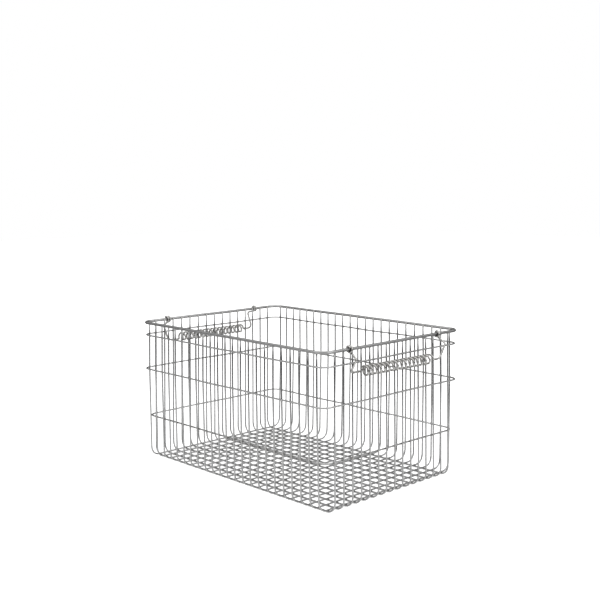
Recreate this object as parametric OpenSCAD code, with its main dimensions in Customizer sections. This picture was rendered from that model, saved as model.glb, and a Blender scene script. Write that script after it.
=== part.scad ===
// Wire locker basket: a welded steel-wire mesh with a thick rim and two swinging coil handles.
// The origin is under the middle of the floor, with X along the long side and Z up.

/* [Basket] */
// Length of the rim, between the centres of its wire
rim_length = 415; // [300:1:520]
// Width of the rim, between the centres of its wire
rim_width = 294; // [220:1:380]
// Height of the rim wire's centre above the surface that the basket stands on
rim_height = 218.5; // [190:0.5:280]
// Radius of the rim's corners, at the wire's centre
corner_radius = 15; // [12:0.5:24]
// Spacing of the mesh wires
wire_pitch = 17.5; // [16:0.5:26]

/* [Wires] */
// Diameter of the rim wire
rim_d = 4.5; // [3.5:0.1:6]
// Diameter of the mesh wires, which form the floor and the uprights
mesh_d = 2.5; // [2:0.1:3]
// Diameter of the wire of the three hoops
hoop_d = 2; // [1.6:0.1:3]
// How far two wires sink into each other where they are welded
weld_sink = 0.05; // [0.02:0.01:0.1]
// How far the uprights' ends stand above the rim wire's centre
upright_rise = 1; // [0:0.1:1.6]

/* [Walls] */
// How far each short wall is drawn in between the middle and the lower hoop
short_wall_step = 0.5; // [0.1:0.1:6]
// How far each long wall is drawn in between the middle and the lower hoop
long_wall_step = 6; // [0.1:0.1:12]
// Radius of the bend from the floor into the walls
foot_radius = 14; // [8:0.5:24]

/* [Hoops] */
// Depth of the upper hoop's centre below the rim wire's centre
upper_hoop_drop = 20; // [16:0.5:22]
// Depth of the middle hoop's centre below the rim wire's centre
middle_hoop_drop = 74; // [60:0.5:90]
// Depth of the lower hoop's centre below the rim wire's centre
lower_hoop_drop = 150; // [130:0.5:160]

/* [Handles] */
// Diameter of the handle wire
handle_d = 2.5; // [2:0.1:3]
// Upright beside each eye, counted from the middle one
eye_upright = 5; // [4:1:6]
// Clearance between an eye and the upright beside it
eye_side_gap = 0.6; // [0.4:0.1:4]
// Clearance between an eye and the rim wire
eye_clearance = 0.4; // [0.3:0.05:0.8]
// Turns that an eye takes round the rim
eye_turns = 1.2; // [1.1:0.1:1.8]
// Clearance between the turns of an eye
eye_turn_gap = 0.5; // [0.45:0.05:1]
// Distance of the arm's knee out from the rim wire's centre
knee_out = 14; // [12:0.5:16]
// Depth of the arm's knee below the rim wire's centre
knee_drop = 13.5; // [12:0.5:15]
// Radius of the bend at the arm's knee
knee_radius = 2.5; // [2:0.1:4]
// Radius of the bend where an arm turns in to the grip
elbow_radius = 8; // [4:0.5:9]
// Depth of the grip's axis below the rim wire's centre
grip_drop = 33.2; // [32:0.1:42]
// Outside diameter of the coil grip
grip_d = 15.7; // [12:0.1:17]
// Clearance between the hanging grip and the uprights
grip_clearance = 0.4; // [0.3:0.05:2]
// Length that one turn of the grip takes up
grip_pitch = 8.7; // [6:0.1:9.2]
// Turns of the grip
grip_turns = 16; // [12:1:16]
// Place on the grip's round where its wire runs in: 180 is towards the wall, 270 is straight down
run_in_angle = 207; // [190:1:230]
// Radius of the bend from the run-in to the first turn
run_in_radius = 2.5; // [2:0.1:3]

/* [Hidden] */

// Curves round a wire, and flat steps of a whole turn of a bend
$fn = 24;

// Mesh wires on each side of the middle one
side_cross_wires = floor((rim_length / 2 - corner_radius) / wire_pitch);
side_long_wires = floor((rim_width / 2 - corner_radius) / wire_pitch);

// Heights of the hoops and of the two layers of the floor
middle_hoop_z = rim_height - middle_hoop_drop;
lower_hoop_z = rim_height - lower_hoop_drop;
long_wire_z = mesh_d / 2;
cross_wire_z = long_wire_z + mesh_d - weld_sink;

// Distance between the centres of two welded wires
rim_to_mesh = (rim_d + mesh_d) / 2 - weld_sink;
hoop_to_mesh = (hoop_d + mesh_d) / 2 - weld_sink;

// Ball that joins two lengths of mesh wire at a shallow bend, a hair over the wire's size
shallow_bend_d = mesh_d + 0.02;

// Distance of the uprights' centres from the middle of the basket, at the top and at the foot
short_wall_top = rim_length / 2 - rim_to_mesh;
short_wall_foot = short_wall_top - short_wall_step;
long_wall_top = rim_width / 2 - rim_to_mesh;
long_wall_foot = long_wall_top - long_wall_step;

// The handle's shape, seen along the rim from the rim wire's centre: outward, then up
eye_steps = 12;
eye_radius = (rim_d / 2 + eye_clearance + handle_d / 2) / cos(180 / eye_steps);
eye_pitch = handle_d + eye_turn_gap;
eye_half = (eye_turns * eye_pitch + handle_d) / 2;
eye_y = eye_upright * wire_pitch + mesh_d / 2 + eye_side_gap + eye_half;
arm_y = eye_y + eye_turns * eye_pitch / 2;
knee_reach = norm([knee_out, knee_drop]);
eye_exit_angle = -atan2(knee_drop, knee_out) - acos(eye_radius / knee_reach);
grip_out = grip_d / 2 + grip_clearance + mesh_d / 2 - rim_to_mesh;
grip_radius = (grip_d - handle_d) / 2;
grip_half = grip_turns * grip_pitch / 2;
grip_steps = 8;
knee_steps = 4;
elbow_steps = 6;
run_in_steps = 3;
wire_sides = 6;

function two_digits(number) = str(number < 10 ? "0" : "", number);

cross_wire_names = [for (i = [1:2 * side_cross_wires + 1]) str("cross_wire_", two_digits(i))];
long_wire_names = [for (i = [1:2 * side_long_wires + 1]) str("long_wire_", two_digits(i))];

// Straight wire between two points of the XY plane
module straight_wire(from, to, d) {
    run = to - from;
    translate(from) rotate([0, 0, atan2(run.y, run.x)]) rotate([0, 90, 0]) cylinder(h = norm(run), d = d);
}

// Quarter bend in the XY plane about its own centre, from its +X side round to its +Y side
module quarter_bend(radius, d) {
    rotate_extrude(angle = 90) translate([radius, 0]) circle(d = d);
}

// Closed wire ring with round corners; the half sizes are to the wire's centre
module ring(half_length, half_width, d) {
    straight_x = half_length - corner_radius;
    straight_y = half_width - corner_radius;
    for (side = [-1, 1]) {
        straight_wire([-straight_x, side * half_width], [straight_x, side * half_width], d);
        straight_wire([side * half_length, -straight_y], [side * half_length, straight_y], d);
    }
    for (corner = [[1, 1, 0], [-1, 1, 90], [-1, -1, 180], [1, -1, 270]])
        translate([corner[0] * straight_x, corner[1] * straight_y])
            rotate([0, 0, corner[2]])
                quarter_bend(corner_radius, d);
}

// Hoop welded round the outside of the uprights, which stand at these distances
module hoop(short_wall, long_wall, z) {
    translate([0, 0, z]) ring(short_wall + hoop_to_mesh, long_wall + hoop_to_mesh, hoop_d);
}

module rim_wire() {
    color("#b9bcbe") translate([0, 0, rim_height]) ring(rim_length / 2, rim_width / 2, rim_d);
}

module upper_hoop() {
    color("#c3c5c7") hoop(short_wall_top, long_wall_top, rim_height - upper_hoop_drop);
}

module middle_hoop() {
    color("#c3c5c7") hoop(short_wall_top, long_wall_top, middle_hoop_z);
}

module lower_hoop() {
    color("#c3c5c7") hoop(short_wall_foot, long_wall_foot, lower_hoop_z);
}

// One mesh wire in the XZ plane: up one wall, across the floor and up the other wall
module mesh_wire(top, foot, floor_z) {
    floor_end = foot - foot_radius;
    wall_foot = [foot, floor_z + foot_radius];
    lower_bend = [foot, lower_hoop_z];
    upper_bend = [top, middle_hoop_z];
    rotate([90, 0, 0]) {
        straight_wire([-floor_end, floor_z], [floor_end, floor_z], mesh_d);
        for (half_turn = [0, 180])
            rotate([0, half_turn, 0]) {
                translate([floor_end, floor_z + foot_radius]) rotate([0, 0, -90]) quarter_bend(foot_radius, mesh_d);
                straight_wire(wall_foot, lower_bend, mesh_d);
                translate(lower_bend) sphere(d = shallow_bend_d);
                straight_wire(lower_bend, upper_bend, mesh_d);
                translate(upper_bend) sphere(d = shallow_bend_d);
                straight_wire(upper_bend, [top, rim_height + upright_rise], mesh_d);
            }
    }
}

// Mesh wire that runs the short way, numbered along X
module cross_wire(number) {
    x = (number - 1 - side_cross_wires) * wire_pitch;
    color("#ced0d2") translate([x, 0, 0]) rotate([0, 0, 90]) mesh_wire(long_wall_top, long_wall_foot, cross_wire_z);
}

// Mesh wire that runs the long way, numbered along Y
module long_wire(number) {
    y = (number - 1 - side_long_wires) * wire_pitch;
    color("#ced0d2") translate([0, y, 0]) mesh_wire(short_wall_top, short_wall_foot, long_wire_z);
}

function unit(v) = v / norm(v);

// Points of the arc that rounds the corner at b on the way from a to c
function corner_arc(a, b, c, radius, steps) =
    let (
        before = unit(b - a),
        after = unit(c - b),
        turn = acos(before * after),
        start = b - radius * tan(turn / 2) * before,
        centre = b + radius / cos(turn / 2) * unit(after - before),
        spoke = start - centre
    )
    [for (k = [0:steps]) centre + cos(turn * k / steps) * spoke + radius * sin(turn * k / steps) * before];

// Eye at one end of the rim bar, from its cut end, over the rim and inside, to where the arm leaves below
function eye_points() =
    [for (k = [round(eye_turns * eye_steps):-1:0])
        let (angle = eye_exit_angle - 360 * k / eye_steps)
        [eye_radius * cos(angle), arm_y - eye_pitch * k / eye_steps, eye_radius * sin(angle)]];

// Point on the centre line of the grip's coil, with turn counted from its positive end
function grip_point(turn) =
    let (angle = run_in_angle + 360 * turn)
    [grip_out + grip_radius * cos(angle), grip_half - turn * grip_pitch, -grip_drop + grip_radius * sin(angle)];

// Corner points of the arm: the knee, and the elbow where it turns in line with the coil's end
knee = [knee_out, arm_y, -knee_drop];
elbow = [grip_point(0).x, arm_y, grip_point(0).z];

// Eye and arm at the positive end, up to the elbow
function end_points() =
    let (
        eye = eye_points(),
        leave = eye[len(eye) - 1]
    )
    concat(
        eye,
        corner_arc(leave, knee, elbow, knee_radius, knee_steps),
        corner_arc(knee, elbow, grip_point(0), elbow_radius, elbow_steps)
    );

// The same points at the other end of the handle
function mirrored(points) = [for (i = [len(points) - 1:-1:0]) [points[i].x, -points[i].y, points[i].z]];

// Centre line of the whole handle wire, from one eye's cut end to the other's
function handle_path() =
    let (
        start = end_points(),
        coil = [for (k = [1:grip_turns * grip_steps - 1]) grip_point(k / grip_steps)],
        run_in = corner_arc(elbow, grip_point(0), coil[0], run_in_radius, run_in_steps),
        far_elbow = [elbow.x, -elbow.y, elbow.z],
        far_end = grip_point(grip_turns),
        run_out = corner_arc(coil[len(coil) - 1], far_end, far_elbow, run_in_radius, run_in_steps)
    )
    concat(start, run_in, coil, run_out, mirrored(start));

// Direction of the path at one of its points
function heading(path, i) = unit(path[min(i + 1, len(path) - 1)] - path[max(i - 1, 0)]);

// The part of v that stands square to a direction, as a unit vector
function squared_to(v, direction) = unit(v - (v * direction) * direction);

// Side direction at each point of a path, carried along it without twist
function side_directions(path) =
    [for (
        i = 0, side = squared_to([0, 1, 0], heading(path, 0));
        i < len(path);
        i = i + 1, side = i < len(path) ? squared_to(side, heading(path, i)) : side
    ) side];

// Wire of wire_sides flat sides along a path
module swept_wire(path, d) {
    sides = side_directions(path);
    last = len(path) - 1;
    rings = [for (i = [0:last], k = [0:wire_sides - 1])
        let (angle = 360 * k / wire_sides, up = cross(heading(path, i), sides[i]))
        path[i] + d / 2 * (cos(angle) * sides[i] + sin(angle) * up)];
    walls = [for (i = [0:last - 1], k = [0:wire_sides - 1], half = [0, 1])
        let (
            a = i * wire_sides + k,
            b = i * wire_sides + (k + 1) % wire_sides
        )
        half == 0 ? [a, a + wire_sides, b] : [b, a + wire_sides, b + wire_sides]];
    ends = [for (k = [1:wire_sides - 2], end = [0, 1])
        end == 0 ? [0, k, k + 1] : [last * wire_sides, last * wire_sides + k + 1, last * wire_sides + k]];
    polyhedron(points = rings, faces = concat(walls, ends), convexity = 10);
}

// Least clearance between parts of one wire that lie more than three diameters apart along it
function least_gap(path, d) =
    let (
        legs = [for (i = [1:len(path) - 1]) norm(path[i] - path[i - 1])],
        along = [for (i = 0, run = 0; i < len(path); run = run + (i < len(legs) ? legs[i] : 0), i = i + 1) run]
    )
    min([for (i = [0:len(path) - 1], j = [i + 1:1:len(path) - 1])
        if (along[j] - along[i] > 3 * d) norm(path[i] - path[j])]) - d;

// Handle as it hangs outside a short wall, with the rim wire's centre at the origin
module handle() {
    path = handle_path();
    echo("Least gap between turns of a handle's wire, in mm:", least_gap(path, handle_d));
    color("#d3d5d6") swept_wire(path, handle_d);
}

module right_handle() {
    translate([rim_length / 2, 0, rim_height]) handle();
}

module left_handle() {
    translate([-rim_length / 2, 0, rim_height]) rotate([0, 0, 180]) handle();
}

rim_wire();
upper_hoop();
middle_hoop();
lower_hoop();
for (i = [0:len(cross_wire_names) - 1])
    cross_wire(i + 1);
for (i = [0:len(long_wire_names) - 1])
    long_wire(i + 1);
left_handle();
right_handle();
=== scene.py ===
"""Looks of a wire locker basket: bright steel mesh, a heavy rim, three hoops and two swinging coil handles.

Everything is in metres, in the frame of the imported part: the origin is under the middle of the floor, X runs along the long side and Z is up.
"""
import math
import random
import bmesh
import bpy
from mathutils import Matrix, Vector


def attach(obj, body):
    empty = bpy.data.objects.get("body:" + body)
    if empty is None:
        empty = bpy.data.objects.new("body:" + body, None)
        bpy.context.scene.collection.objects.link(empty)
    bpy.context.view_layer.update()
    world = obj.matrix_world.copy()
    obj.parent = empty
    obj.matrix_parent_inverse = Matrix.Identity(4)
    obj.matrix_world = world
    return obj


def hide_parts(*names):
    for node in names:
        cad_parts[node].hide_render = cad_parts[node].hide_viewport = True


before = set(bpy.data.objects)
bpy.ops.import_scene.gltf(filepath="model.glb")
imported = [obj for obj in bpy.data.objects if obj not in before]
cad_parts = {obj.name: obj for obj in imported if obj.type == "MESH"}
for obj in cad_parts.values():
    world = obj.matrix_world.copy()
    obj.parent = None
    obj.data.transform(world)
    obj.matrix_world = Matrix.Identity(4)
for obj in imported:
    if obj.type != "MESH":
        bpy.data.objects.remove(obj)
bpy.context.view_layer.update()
chance = random.Random(7)


# Rim
# The basket's mouth is one heavy steel wire, 4.5 mm thick, bent round a former at the four corners.
# Its ends meet in the middle of the far long side, where they are butt welded and ground nearly flush.
MM = 0.001
RIM_LENGTH = 415 * MM
RIM_WIDTH = 294 * MM
RIM_HEIGHT = 218.5 * MM
RIM_D = 4.5 * MM
CORNER_RADIUS = 17 * MM


def linear(hex_colour):
    """An sRGB hex colour as the linear RGBA that a shader socket takes."""
    channels = [int(hex_colour[i:i + 2], 16) / 255 for i in (1, 3, 5)]
    return [c / 12.92 if c <= 0.04045 else ((c + 0.055) / 1.055) ** 2.4 for c in channels] + [1.0]


def add_node(material, kind, settings=None, links=None):
    """One shader node, with its properties and socket values, and with its inputs linked from other nodes' outputs."""
    node = material.node_tree.nodes.new(kind)
    for name, value in (settings or {}).items():
        if isinstance(name, str) and hasattr(node, name):
            setattr(node, name, value)
        else:
            node.inputs[name].default_value = value
    for name, output in (links or {}).items():
        material.node_tree.links.new(output, node.inputs[name])
    return node


def drawn_steel(name, pale, dark, roughness, grain_mm, weld_heights=()):
    """Drawn steel wire, polished bright after welding: fine lines run along it, left by the die, over slow changes of tone.
    The coordinates are the wire's own, as if it were pulled straight, so the lines follow every bend."""
    material = bpy.data.materials.new(name)
    material.use_nodes = True
    shader = material.node_tree.nodes["Principled BSDF"]
    place = add_node(material, "ShaderNodeAttribute", {"attribute_name": "wire_place"})
    # Die lines: about grain_mm apart round the wire and 40 times as long. Real ones are 0.05 mm apart, too fine to show.
    stretched = add_node(
        material, "ShaderNodeMapping", {"Scale": (1 / (40 * grain_mm * MM), 1 / (grain_mm * MM), 1 / (grain_mm * MM))},
        {"Vector": place.outputs["Vector"]})
    lines = add_node(
        material, "ShaderNodeTexNoise", {"Scale": 1.0, "Detail": 3.0, "Roughness": 0.6}, {"Vector": stretched.outputs["Vector"]})
    # Slow changes of tone, about 35 mm long, where the polishing bath bit more or less.
    slow = add_node(
        material, "ShaderNodeTexNoise", {"Scale": 1 / (35 * MM), "Detail": 2.0}, {"Vector": place.outputs["Vector"]})
    # The Mix node's sockets 6 and 7 are its two colours, and its output 2 is the mixed one
    tone = add_node(
        material, "ShaderNodeMix", {"data_type": "RGBA", 6: linear(dark), 7: linear(pale)}, {"Factor": slow.outputs["Fac"]})
    colour = tone.outputs[2]
    if weld_heights:
        # A straw-grey tint each side of a weld, about 3 mm wide, left by its heat.
        along = add_node(material, "ShaderNodeTexCoord")
        height = add_node(material, "ShaderNodeSeparateXYZ", links={"Vector": along.outputs["Object"]})
        level = add_node(
            material, "ShaderNodeMath", {"operation": "DIVIDE", 1: 0.25}, {0: height.outputs["Z"]})
        bands = add_node(material, "ShaderNodeValToRGB", links={"Fac": level.outputs["Value"]})
        ramp = bands.color_ramp
        ramp.elements[0].position = 0.0
        ramp.elements[0].color = (0, 0, 0, 1)
        ramp.elements[1].position = 1.0
        ramp.elements[1].color = (0, 0, 0, 1)
        for z in weld_heights:
            for step, strength in ((-3.5 * MM, 0.0), (0.0, 1.0), (3.5 * MM, 0.0)):
                ramp.elements.new((z + step) / 0.25).color = (strength, strength, strength, 1)
        share = add_node(
            material, "ShaderNodeMath", {"operation": "MULTIPLY", 1: 0.2}, {0: bands.outputs["Color"]})
        tinted = add_node(
            material, "ShaderNodeMix", {"data_type": "RGBA", 7: linear("#6f675c")}, {"Factor": share.outputs["Value"], 6: colour})
        colour = tinted.outputs[2]
    material.node_tree.links.new(colour, shader.inputs["Base Color"])
    shader.inputs["Metallic"].default_value = 1.0
    # Drawing leaves the wire's skin finely scored, so it glares less at its edges than smooth steel does
    shader.inputs["Specular Tint"].default_value = linear("#808080")
    gloss = add_node(
        material, "ShaderNodeMapRange", {"To Min": roughness - 0.05, "To Max": roughness + 0.07},
        {"Value": lines.outputs["Fac"]})
    material.node_tree.links.new(gloss.outputs["Result"], shader.inputs["Roughness"])
    bump = add_node(
        material, "ShaderNodeBump", {"Strength": 0.1, "Distance": 0.03 * MM}, {"Height": lines.outputs["Fac"]})
    material.node_tree.links.new(bump.outputs["Normal"], shader.inputs["Normal"])
    return material


def bent_wire(name, points, diameter, sides, closed=False, beads=()):
    """Round wire along points. A ring of edges is drawn out from one point to the next; beads are (point number, share) swellings.
    Each vertex keeps its place on the straightened wire in the attribute wire_place."""
    shape = bmesh.new()
    straight = shape.verts.layers.float_vector.new("wire_place")
    count = len(points)
    headings = []
    for i in range(count):
        before = points[i - 1] if closed or i else points[0]
        after = points[(i + 1) % count] if closed or i < count - 1 else points[-1]
        headings.append((Vector(after) - Vector(before)).normalized())
    side = headings[0].orthogonal().normalized()
    swell = dict(beads)
    made = None
    along = 0.0
    loops = []
    for i in range(count):
        side = (side - side.dot(headings[i]) * headings[i]).normalized()
        over = headings[i].cross(side)
        size = 1 + swell.get(i, 0.0)
        spot = Matrix((side * size, over * size, headings[i])).transposed().to_4x4()
        spot.translation = Vector(points[i])
        if made is None:
            ring = bmesh.ops.create_circle(shape, segments=sides, radius=diameter / 2, matrix=spot)["verts"]
            edges = list({e for v in ring for e in v.link_edges})
        else:
            drawn = bmesh.ops.extrude_edge_only(shape, edges=edges)["geom"]
            ring = [g for g in drawn if isinstance(g, bmesh.types.BMVert)]
            edges = [g for g in drawn if isinstance(g, bmesh.types.BMEdge) and all(v in ring for v in g.verts)]
            bmesh.ops.transform(shape, matrix=spot @ made.inverted(), verts=ring)
            along += (Vector(points[i]) - Vector(points[i - 1])).length
        for v in ring:
            across = spot.inverted() @ v.co
            v[straight] = (along, across.x, across.y)
        made = spot
        loops.append((ring, edges))
    if closed:
        bmesh.ops.bridge_loops(shape, edges=loops[0][1] + loops[-1][1])
    else:
        for ring, edges in (loops[0], loops[-1]):
            # A cut end, with its edge just broken
            bmesh.ops.contextual_create(shape, geom=edges)
            bmesh.ops.bevel(
                shape, geom=edges, offset=0.12 * diameter, segments=1, profile=0.5, affect="EDGES", material=-1)
    bmesh.ops.recalc_face_normals(shape, faces=shape.faces)
    for face in shape.faces:
        face.smooth = len(face.verts) < 5
    mesh = bpy.data.meshes.new(name)
    shape.to_mesh(mesh)
    shape.free()
    piece = bpy.data.objects.new(name, mesh)
    bpy.context.scene.collection.objects.link(piece)
    return piece


def finished(piece, material, slot, body, *nodes):
    """The piece gets its material, moves with its body and stands for its CAD nodes. The slot argument is not used."""
    piece.data.materials.append(material)
    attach(piece, body)
    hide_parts(*nodes)
    return piece


def ring_points(half_length, half_width, height, radius, sway, gap=12 * MM, steps=10):
    """Closed ring with round corners, from the middle of the far long side. Its height wanders by up to sway, as bent wire does."""
    flat_x = half_length - radius
    flat_y = half_width - radius
    corners = [(-1, 1, 90), (-1, -1, 180), (1, -1, 270), (1, 1, 0)]
    stops = [(0.0, half_width)]
    for sx, sy, start in corners:
        for k in range(steps + 1):
            angle = math.radians(start + 90 * k / steps)
            stops.append((sx * flat_x + radius * math.cos(angle), sy * flat_y + radius * math.sin(angle)))
    stops.append(stops[0])
    points = []
    for a, b in zip(stops, stops[1:]):
        pieces = max(1, round(math.dist(a, b) / gap))
        points += [(a[0] + (b[0] - a[0]) * k / pieces, a[1] + (b[1] - a[1]) * k / pieces) for k in range(pieces)]
    shift = chance.uniform(0, 6.28)
    return [
        (x, y, height + sway * math.sin(3 * math.atan2(y, x) + shift) * math.cos(5 * math.atan2(y, x) - shift))
        for x, y in points]


# Heavy bright wire, electropolished with the finished basket: pale, a little satin, with long die lines
rim_steel = drawn_steel("rim_stainless_wire_polished", "#969696", "#8e8e8e", 0.30, 0.5)
rim = bent_wire(
    "rim", ring_points(RIM_LENGTH / 2, RIM_WIDTH / 2, RIM_HEIGHT, CORNER_RADIUS, 0.2 * MM), RIM_D, 18, closed=True, beads=((0, 0.07),))
finished(rim, rim_steel, "rim_wire", "basket", "rim_wire")


# Mesh wires
# The floor and walls are 38 lengths of 2.5 mm bright drawn steel, each bent up at both ends like a wide U.
# The long ones lie under the cross ones, all are spot welded where they cross, and their cut ends stand inside the rim.
MESH_D = 2.5 * MM
WELD_SINK = 0.05 * MM
PITCH = 17.5 * MM
FOOT_RADIUS = 14 * MM
UPRIGHT_RISE = 1 * MM
MIDDLE_HOOP_Z = RIM_HEIGHT - 74 * MM
LOWER_HOOP_Z = RIM_HEIGHT - 150 * MM
UPPER_HOOP_Z = RIM_HEIGHT - 20 * MM
RIM_TO_MESH = (RIM_D + MESH_D) / 2 - WELD_SINK
SHORT_WALL = RIM_LENGTH / 2 - RIM_TO_MESH
LONG_WALL_TOP = RIM_WIDTH / 2 - RIM_TO_MESH
LONG_WALL_LEAN = 3.5 * MM
LONG_WIRE_Z = MESH_D / 2
CROSS_WIRE_Z = LONG_WIRE_Z + MESH_D - WELD_SINK


def rounded(corner_points, radii, steps=5, gap=20 * MM):
    """Points along a flat bent line: its corners rounded to their radii, its straight lengths cut into short ones."""
    line = [Vector(corner_points[0])]
    for before, corner, after, radius in zip(corner_points, corner_points[1:], corner_points[2:], radii):
        b, c, a = Vector(before), Vector(corner), Vector(after)
        u = (c - b).normalized()
        w = (a - c).normalized()
        turn = u.angle(w)
        if turn < 0.001:
            continue
        start = c - u * radius * math.tan(turn / 2)
        centre = c + (w - u).normalized() * radius / math.cos(turn / 2)
        spoke = start - centre
        line += [
            centre + spoke * math.cos(turn * k / steps) + u * radius * math.sin(turn * k / steps) for k in range(steps + 1)]
    line.append(Vector(corner_points[-1]))
    points = []
    for a, b in zip(line, line[1:]):
        pieces = max(1, round((b - a).length / gap))
        points += [a.lerp(b, k / pieces) for k in range(pieces)]
    return points + [line[-1]]


def mesh_wire_points(top, foot, floor_z, sway):
    """One wire across the floor and up both walls, as (across, sideways, up), with the slight wander of hand-straightened wire."""
    rise = [UPRIGHT_RISE + chance.uniform(-0.4, 0.4) * MM for _ in range(2)]
    corners = [(-top, RIM_HEIGHT + rise[0]), (-top, MIDDLE_HOOP_Z), (-foot, floor_z), (foot, floor_z), (top, MIDDLE_HOOP_Z)]
    corners.append((top, RIM_HEIGHT + rise[1]))
    line = rounded(corners, [20 * MM, FOOT_RADIUS, FOOT_RADIUS, 20 * MM])
    shift = [chance.uniform(0, 6.28) for _ in range(3)]
    lean = chance.uniform(-1, 1) * 0.5 * sway
    points = []
    for p in line:
        run = p.x + (p.y if p.x > 0 else -p.y)
        wander = math.sin(run / 0.031 + shift[0]) * 0.45 + math.sin(run / 0.083 + shift[1]) * 0.55
        points.append((p.x, lean + sway * wander, p.y))
    return points


# Bright drawn wire: a shade darker than the rim, glossy, with a straw-grey tint where the hoops were welded on
mesh_steel = drawn_steel(
    "mesh_stainless_wire_drawn", "#9d9d9d", "#969696", 0.30, 0.35,
    (LOWER_HOOP_Z, MIDDLE_HOOP_Z, UPPER_HOOP_Z, RIM_HEIGHT))
COLUMNS = [(n - 12) * PITCH for n in range(1, 24)]
COLUMNS[0] += 1 * MM
COLUMNS[-1] -= 1 * MM
ROWS = [(n - 8) * PITCH for n in range(1, 16)]
for number, x in enumerate(COLUMNS, start=1):
    across = mesh_wire_points(LONG_WALL_TOP, LONG_WALL_TOP - LONG_WALL_LEAN, CROSS_WIRE_Z, 0.22 * MM)
    piece = bent_wire(f"cross_wire_{number:02d}_drawn", [(x + s, a, z) for a, s, z in across], MESH_D, 12)
    finished(piece, mesh_steel, "mesh_wire", "basket", f"cross_wire_{number:02d}")
for number, y in enumerate(ROWS, start=1):
    along = mesh_wire_points(SHORT_WALL, SHORT_WALL, LONG_WIRE_Z, 0.22 * MM)
    piece = bent_wire(f"long_wire_{number:02d}_drawn", [(a, y + s, z) for a, s, z in along], MESH_D, 12)
    finished(piece, mesh_steel, "mesh_wire", "basket", f"long_wire_{number:02d}")


# Hoops
# Three lighter hoops of 2.5 mm wire are spot welded to the uprights: two round the outside, and the lowest round the inside.
# They are closed by a butt weld in the far long side, and are not quite level all the way round.
HOOP_D = 2.5 * MM
HOOP_RADIUS = 15 * MM
HOOP_TO_MESH = (HOOP_D + MESH_D) / 2 - WELD_SINK
# Thin bright drawn wire: the palest of the basket's wires, with fine die lines
hoop_steel = drawn_steel("hoop_stainless_wire_drawn", "#a7a7a7", "#9e9e9e", 0.32, 0.3)
LONG_WALL_LOW = LONG_WALL_TOP - LONG_WALL_LEAN * (MIDDLE_HOOP_Z - LOWER_HOOP_Z) / (MIDDLE_HOOP_Z - CROSS_WIRE_Z - FOOT_RADIUS)
for name, long_wall, out, height in (
        ("upper_hoop", LONG_WALL_TOP, HOOP_TO_MESH, UPPER_HOOP_Z),
        ("middle_hoop", LONG_WALL_TOP, HOOP_TO_MESH, MIDDLE_HOOP_Z),
        ("lower_hoop", LONG_WALL_LOW, -HOOP_TO_MESH, LOWER_HOOP_Z)):
    points = ring_points(SHORT_WALL + out, long_wall + out, height, HOOP_RADIUS, 0.5 * MM)
    piece = bent_wire(name + "_drawn", points, HOOP_D, 12, closed=True, beads=((0, 0.12),))
    finished(piece, hoop_steel, "hoop_wire", "basket", name)


# Spot welds
# Where two wires cross, a spot welder has squeezed them together and left a small collar of metal round the touch.
# There is one at each of the floor's 345 crossings, and one at each upright on every hoop and on the rim.
def weld_collars(name, spots, radius, thickness):
    """One mesh of many flattened beads; a spot is (place, direction from one wire's centre to the other's)."""
    collars = bmesh.new()
    straight = collars.verts.layers.float_vector.new("wire_place")
    for place, direction in spots:
        turned = Vector(direction).to_track_quat("Z", "Y").to_matrix().to_4x4()
        grown = chance.uniform(0.88, 1.12)
        size = Matrix.Diagonal((radius * grown, radius * chance.uniform(0.9, 1.1), thickness, 1))
        bead = bmesh.ops.create_uvsphere(
            collars, u_segments=8, v_segments=5, radius=1, matrix=Matrix.Translation(place) @ turned @ size)["verts"]
        for v in bead:
            v[straight] = v.co
    for face in collars.faces:
        face.smooth = True
    mesh = bpy.data.meshes.new(name)
    collars.to_mesh(mesh)
    collars.free()
    piece = bpy.data.objects.new(name, mesh)
    bpy.context.scene.collection.objects.link(piece)
    return piece


# Weld metal: stainless steel squeezed out hot and polished after, duller and darker than the wire, with a brown-grey tint
weld_steel = drawn_steel("weld_collar_stainless", "#a4a3a0", "#999794", 0.38, 0.4)
floor_z = LONG_WIRE_Z + MESH_D / 2 - WELD_SINK / 2
floor_spots = [((x, y, floor_z), (0, 0, 1)) for x in COLUMNS for y in ROWS]
hoop_spots = []
for z, long_wall, out in ((UPPER_HOOP_Z, LONG_WALL_TOP, 1), (MIDDLE_HOOP_Z, LONG_WALL_TOP, 1), (LOWER_HOOP_Z, LONG_WALL_LOW, -1)):
    reach = out * (MESH_D / 2 - WELD_SINK / 2)
    # The lowest hoop turns its corners inside the end uprights and isn't welded to them
    met = COLUMNS if out > 0 else COLUMNS[1:-1]
    hoop_spots += [((x, side * (long_wall + reach), z), (0, side, 0)) for x in met for side in (-1, 1)]
    hoop_spots += [((side * (SHORT_WALL + reach), y, z), (side, 0, 0)) for y in ROWS for side in (-1, 1)]
rim_reach = MESH_D / 2 - WELD_SINK / 2
rim_spots = [((x, side * (LONG_WALL_TOP + rim_reach), RIM_HEIGHT), (0, side, 0)) for x in COLUMNS for side in (-1, 1)]
rim_spots += [((side * (SHORT_WALL + rim_reach), y, RIM_HEIGHT), (side, 0, 0)) for y in ROWS for side in (-1, 1)]
for name, spots, radius, thickness, slot in (
        ("floor_weld_collars", floor_spots, 1.0 * MM, 0.4 * MM, "mesh_wire"),
        ("hoop_weld_collars", hoop_spots, 1.0 * MM, 0.45 * MM, "hoop_wire"),
        ("rim_weld_collars", rim_spots, 1.5 * MM, 0.75 * MM, "rim_wire")):
    piece = weld_collars(name, spots, radius, thickness)
    piece.data.materials.append(weld_steel)
    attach(piece, "basket")


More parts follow.
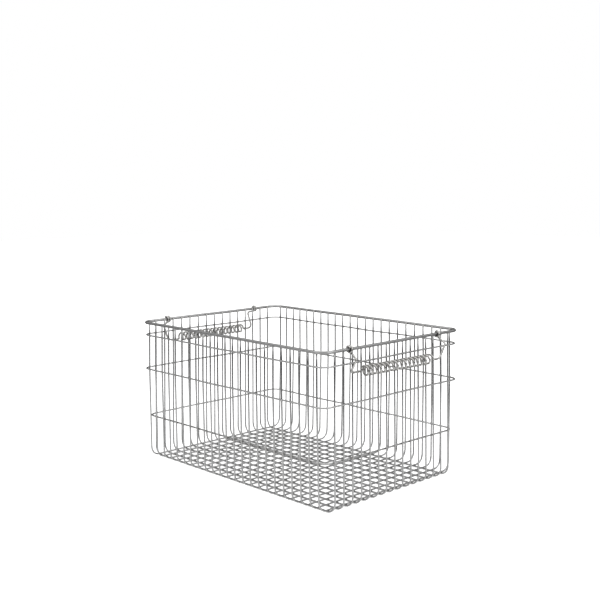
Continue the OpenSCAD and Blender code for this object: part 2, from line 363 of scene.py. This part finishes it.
# Handles
# Each handle is one length of 3 mm spring wire. Its ends are curled round the rim, with a little play, so that it swings.
# An arm slants out to a knee and down to an elbow, and between the two elbows the wire is wound into an open coil for the hand.
# They are bent by hand on a jig, so no two ends are quite alike.
HANDLE_D = 3.0 * MM
EYE_RADIUS = RIM_D / 2 + 0.4 * MM + HANDLE_D / 2
TIGHT_PITCH = HANDLE_D + 0.5 * MM
GRIP_D = 15.7 * MM
GRIP_RADIUS = (GRIP_D - HANDLE_D) / 2
GRIP_OUT = GRIP_D / 2 + 0.4 * MM + MESH_D / 2 - RIM_TO_MESH
TIGHT_TURNS = 0.75


def arc(a, b, c, radius, steps):
    """Points of the bend that rounds the corner at b on the way from a to c."""
    u = (b - a).normalized()
    w = (c - b).normalized()
    turn = u.angle(w)
    start = b - u * radius * math.tan(turn / 2)
    centre = b + (w - u).normalized() * radius / math.cos(turn / 2)
    spoke = start - centre
    return [centre + spoke * math.cos(turn * k / steps) + u * radius * math.sin(turn * k / steps) for k in range(steps + 1)]


def coil_point(coil, turn):
    """A place on the grip's coil, counted in turns from its positive end. The last turn is closed up, the others are open."""
    angle = math.radians(coil["start_angle"] + 360 * turn)
    open_turns = coil["turns"] - TIGHT_TURNS
    pitch = (coil["start_y"] + coil["end_y"] - TIGHT_TURNS * TIGHT_PITCH) / open_turns
    y = coil["start_y"] - turn * pitch if turn < open_turns else -coil["end_y"] + (coil["turns"] - turn) * TIGHT_PITCH
    drop = coil["start_drop"] + (coil["end_drop"] - coil["start_drop"]) * turn / coil["turns"]
    return Vector((GRIP_OUT + GRIP_RADIUS * math.cos(angle), y, -drop + GRIP_RADIUS * math.sin(angle)))


def handle_end(end, first):
    """From the eye's cut end, round the rim, and down the arm to the elbow, on the positive side of the handle."""
    knee = Vector((end["knee_out"], end["knee_y"], -end["knee_drop"]))
    leave = -math.atan2(end["knee_drop"], end["knee_out"]) - math.acos(EYE_RADIUS / math.hypot(end["knee_out"], end["knee_drop"]))
    steps = 24
    eye = []
    for k in range(round(end["eye_turns"] * steps), -1, -1):
        angle = leave - math.tau * k / steps
        y = end["arm_y"] + end["eye_way"] * TIGHT_PITCH * k / steps
        eye.append(Vector((EYE_RADIUS * math.cos(angle), y, EYE_RADIUS * math.sin(angle))))
    elbow = Vector((first.x, end["elbow_y"], first.z))
    return eye + arc(eye[-1], knee, elbow, 3 * MM, 8) + arc(knee, elbow, first, end["elbow_radius"], 12), elbow


def handle_points(start_end, finish_end, coil):
    """The whole handle wire, hanging with the rim wire's centre at the origin, from its positive end to its negative end."""
    flipped = Vector((1, -1, 1))
    first = coil_point(coil, 0)
    last = coil_point(coil, coil["turns"])
    start, elbow = handle_end(start_end, first)
    finish, far_elbow = handle_end(finish_end, last * flipped)
    steps = 20
    wound = [coil_point(coil, k / steps) for k in range(1, int(coil["turns"] * steps))]
    wound = [p for p in wound if (p - first).length > 3.4 * MM and (p - last).length > 3.4 * MM]
    run_in = arc(elbow, first, coil_point(coil, 1 / 8), 2.5 * MM, 6)
    run_out = arc(coil_point(coil, coil["turns"] - 1 / 8), last, far_elbow * flipped, 2.5 * MM, 6)
    return start + run_in + wound + run_out + [p * flipped for p in reversed(finish)]


# Bright drawn spring wire, left unpolished after winding: shiny, a shade warmer than the basket, with fine die lines
handle_steel = drawn_steel("handle_spring_wire_bright", "#a8a7a5", "#9b9a98", 0.26, 0.3)
for name, side, start_end, finish_end, coil in (
        ("right_handle", 1,
         {"arm_y": 94.8 * MM, "eye_turns": 1.1, "eye_way": -1, "knee_y": 93.8 * MM, "knee_out": 14.4 * MM, "knee_drop": 12.9 * MM,
          "elbow_y": 82.2 * MM, "elbow_radius": 10.6 * MM},
         {"arm_y": 93.6 * MM, "eye_turns": 1.6, "eye_way": 1, "knee_y": 97.4 * MM, "knee_out": 13.6 * MM, "knee_drop": 12.1 * MM,
          "elbow_y": 94.8 * MM, "elbow_radius": 7.4 * MM},
         {"start_y": 68.8 * MM, "end_y": 73.9 * MM, "start_drop": 33.3 * MM, "end_drop": 31.4 * MM, "start_angle": 354.5, "turns": 16.551}),
        ("left_handle", -1,
         {"arm_y": 93.4 * MM, "eye_turns": 1.6, "eye_way": 1, "knee_y": 94.4 * MM, "knee_out": 14.5 * MM, "knee_drop": 11.5 * MM,
          "elbow_y": 87.7 * MM, "elbow_radius": 11.4 * MM},
         {"arm_y": 95.7 * MM, "eye_turns": 1.3, "eye_way": -1, "knee_y": 91 * MM, "knee_out": 14.9 * MM, "knee_drop": 7.8 * MM,
          "elbow_y": 87.9 * MM, "elbow_radius": 10.1 * MM},
         {"start_y": 65.2 * MM, "end_y": 68.3 * MM, "start_drop": 33.3 * MM, "end_drop": 33.3 * MM, "start_angle": 313.9, "turns": 16.641})):
    points = [(side * (RIM_LENGTH / 2 + p.x), side * p.y, RIM_HEIGHT + p.z) for p in handle_points(start_end, finish_end, coil)]
    piece = bent_wire(name + "_wound", points, HANDLE_D, 14)
    finished(piece, handle_steel, "handle_wire", name, name)


# Studio
# A white table under one large soft light, with a smaller one on each side, and a white surround.
# A low dark screen stands round the table, out of the camera's sight: it gives the bright wires the dark sides that they need.
def lamp(name, place, aim, size, power):
    light = bpy.data.lights.new(name, "AREA")
    light.shape = "SQUARE"
    light.size = size
    light.energy = power
    holder = bpy.data.objects.new(name, light)
    holder.location = place
    holder.rotation_euler = (Vector(aim) - Vector(place)).to_track_quat("-Z", "Y").to_euler()
    bpy.context.scene.collection.objects.link(holder)


lamp("top_softbox", (0.0, 0.0, 1.9), (0, 0, 0.1), 2.6, 24)
lamp("left_softbox", (-0.4, -1.9, 1.1), (0, 0, 0.1), 1.7, 9)
lamp("right_softbox", (1.9, 0.5, 1.1), (0, 0, 0.1), 1.7, 20)

table_shape = bmesh.new()
bmesh.ops.create_grid(table_shape, x_segments=1, y_segments=1, size=6)
table_mesh = bpy.data.meshes.new("table")
table_shape.to_mesh(table_mesh)
table_shape.free()
table = bpy.data.objects.new("table", table_mesh)
table.location.z = -0.0002
bpy.context.scene.collection.objects.link(table)


def glow_to_the_eye(holder, low, high):
    """A strength that is low for light that falls on things, and high where the camera, a reflection or glass sees the surface."""
    rays = add_node(holder, "ShaderNodeLightPath")
    direct = add_node(
        holder, "ShaderNodeMath", {"operation": "MAXIMUM"}, {0: rays.outputs["Is Camera Ray"], 1: rays.outputs["Is Glossy Ray"]})
    seen = add_node(
        holder, "ShaderNodeMath", {"operation": "MAXIMUM"}, {0: direct.outputs["Value"], 1: rays.outputs["Is Transmission Ray"]})
    return add_node(
        holder, "ShaderNodeMapRange", {"To Min": low, "To Max": high}, {"Value": seen.outputs["Value"]}).outputs["Result"]


table_white = bpy.data.materials.new("table_matt_white_paper")
table_white.use_nodes = True
table_shader = table_white.node_tree.nodes["Principled BSDF"]
table_shader.inputs["Base Color"].default_value = linear("#f4f4f4")
table_shader.inputs["Roughness"].default_value = 0.9
table_shader.inputs["Emission Color"].default_value = (1, 1, 1, 1)
# The paper glows to the eye: a little by the basket, where it keeps the soft shadow, and fully white a few metres away
place = add_node(table_white, "ShaderNodeTexCoord")
away = add_node(table_white, "ShaderNodeVectorMath", {"operation": "LENGTH"}, {0: place.outputs["Object"]})
rise = add_node(
    table_white, "ShaderNodeMapRange", {"From Min": 0.6, "From Max": 2.5, "To Min": 0.55, "To Max": 1.0},
    {"Value": away.outputs["Value"]})
glow = add_node(
    table_white, "ShaderNodeMath", {"operation": "MULTIPLY"},
    {0: rise.outputs["Result"], 1: glow_to_the_eye(table_white, 0.0, 1.0)})
table_white.node_tree.links.new(glow.outputs["Value"], table_shader.inputs["Emission Strength"])
table.data.materials.append(table_white)

screen_shape = bmesh.new()
bmesh.ops.create_cone(screen_shape, cap_ends=False, segments=64, radius1=0.62, radius2=0.62, depth=0.22)
screen_mesh = bpy.data.meshes.new("dark_screen")
screen_shape.to_mesh(screen_mesh)
screen_shape.free()
screen = bpy.data.objects.new("dark_screen", screen_mesh)
screen.location.z = 0.13
bpy.context.scene.collection.objects.link(screen)
screen.visible_camera = False
screen.visible_diffuse = False
screen.visible_shadow = False
screen.visible_transmission = False
screen_black = bpy.data.materials.new("screen_black_cloth")
screen_black.use_nodes = True
screen_shader = screen_black.node_tree.nodes["Principled BSDF"]
screen_shader.inputs["Base Color"].default_value = linear("#3a3a3a")
screen_shader.inputs["Roughness"].default_value = 1.0
screen.data.materials.append(screen_black)

world = bpy.data.worlds.new("white_surround")
bpy.context.scene.world = world
world.use_nodes = True
ground = world.node_tree.nodes["Background"]
ground.inputs["Color"].default_value = (1, 1, 1, 1)
world.node_tree.links.new(glow_to_the_eye(world, 0.55, 1.0), ground.inputs["Strength"])

bpy.context.scene.view_settings.view_transform = "Standard"


# Camera
# It stands off the basket's near right corner and looks level, a little above the rim; the lens is shifted down to frame it.
camera_data = bpy.data.cameras.new("camera")
camera = bpy.data.objects.new("camera", camera_data)
bpy.context.scene.collection.objects.link(camera)
camera_data.sensor_width = 36
camera_data.lens = 57.55
camera_data.shift_y = -0.1919
camera_data.clip_end = 30
turn = math.radians(46.216)
roll = math.radians(-0.21)
back = Vector((math.sin(turn), -math.cos(turn), 0))
level_right = Vector((math.cos(turn), math.sin(turn), 0))
right = level_right * math.cos(roll) + Vector((0, 0, 1)) * math.sin(roll)
up = back.cross(right)
spot = Matrix((right, up, back)).transposed().to_4x4()
spot.translation = Vector((1.0965, -1.0403, 0.4405))
camera.matrix_world = spot
bpy.context.scene.camera = camera
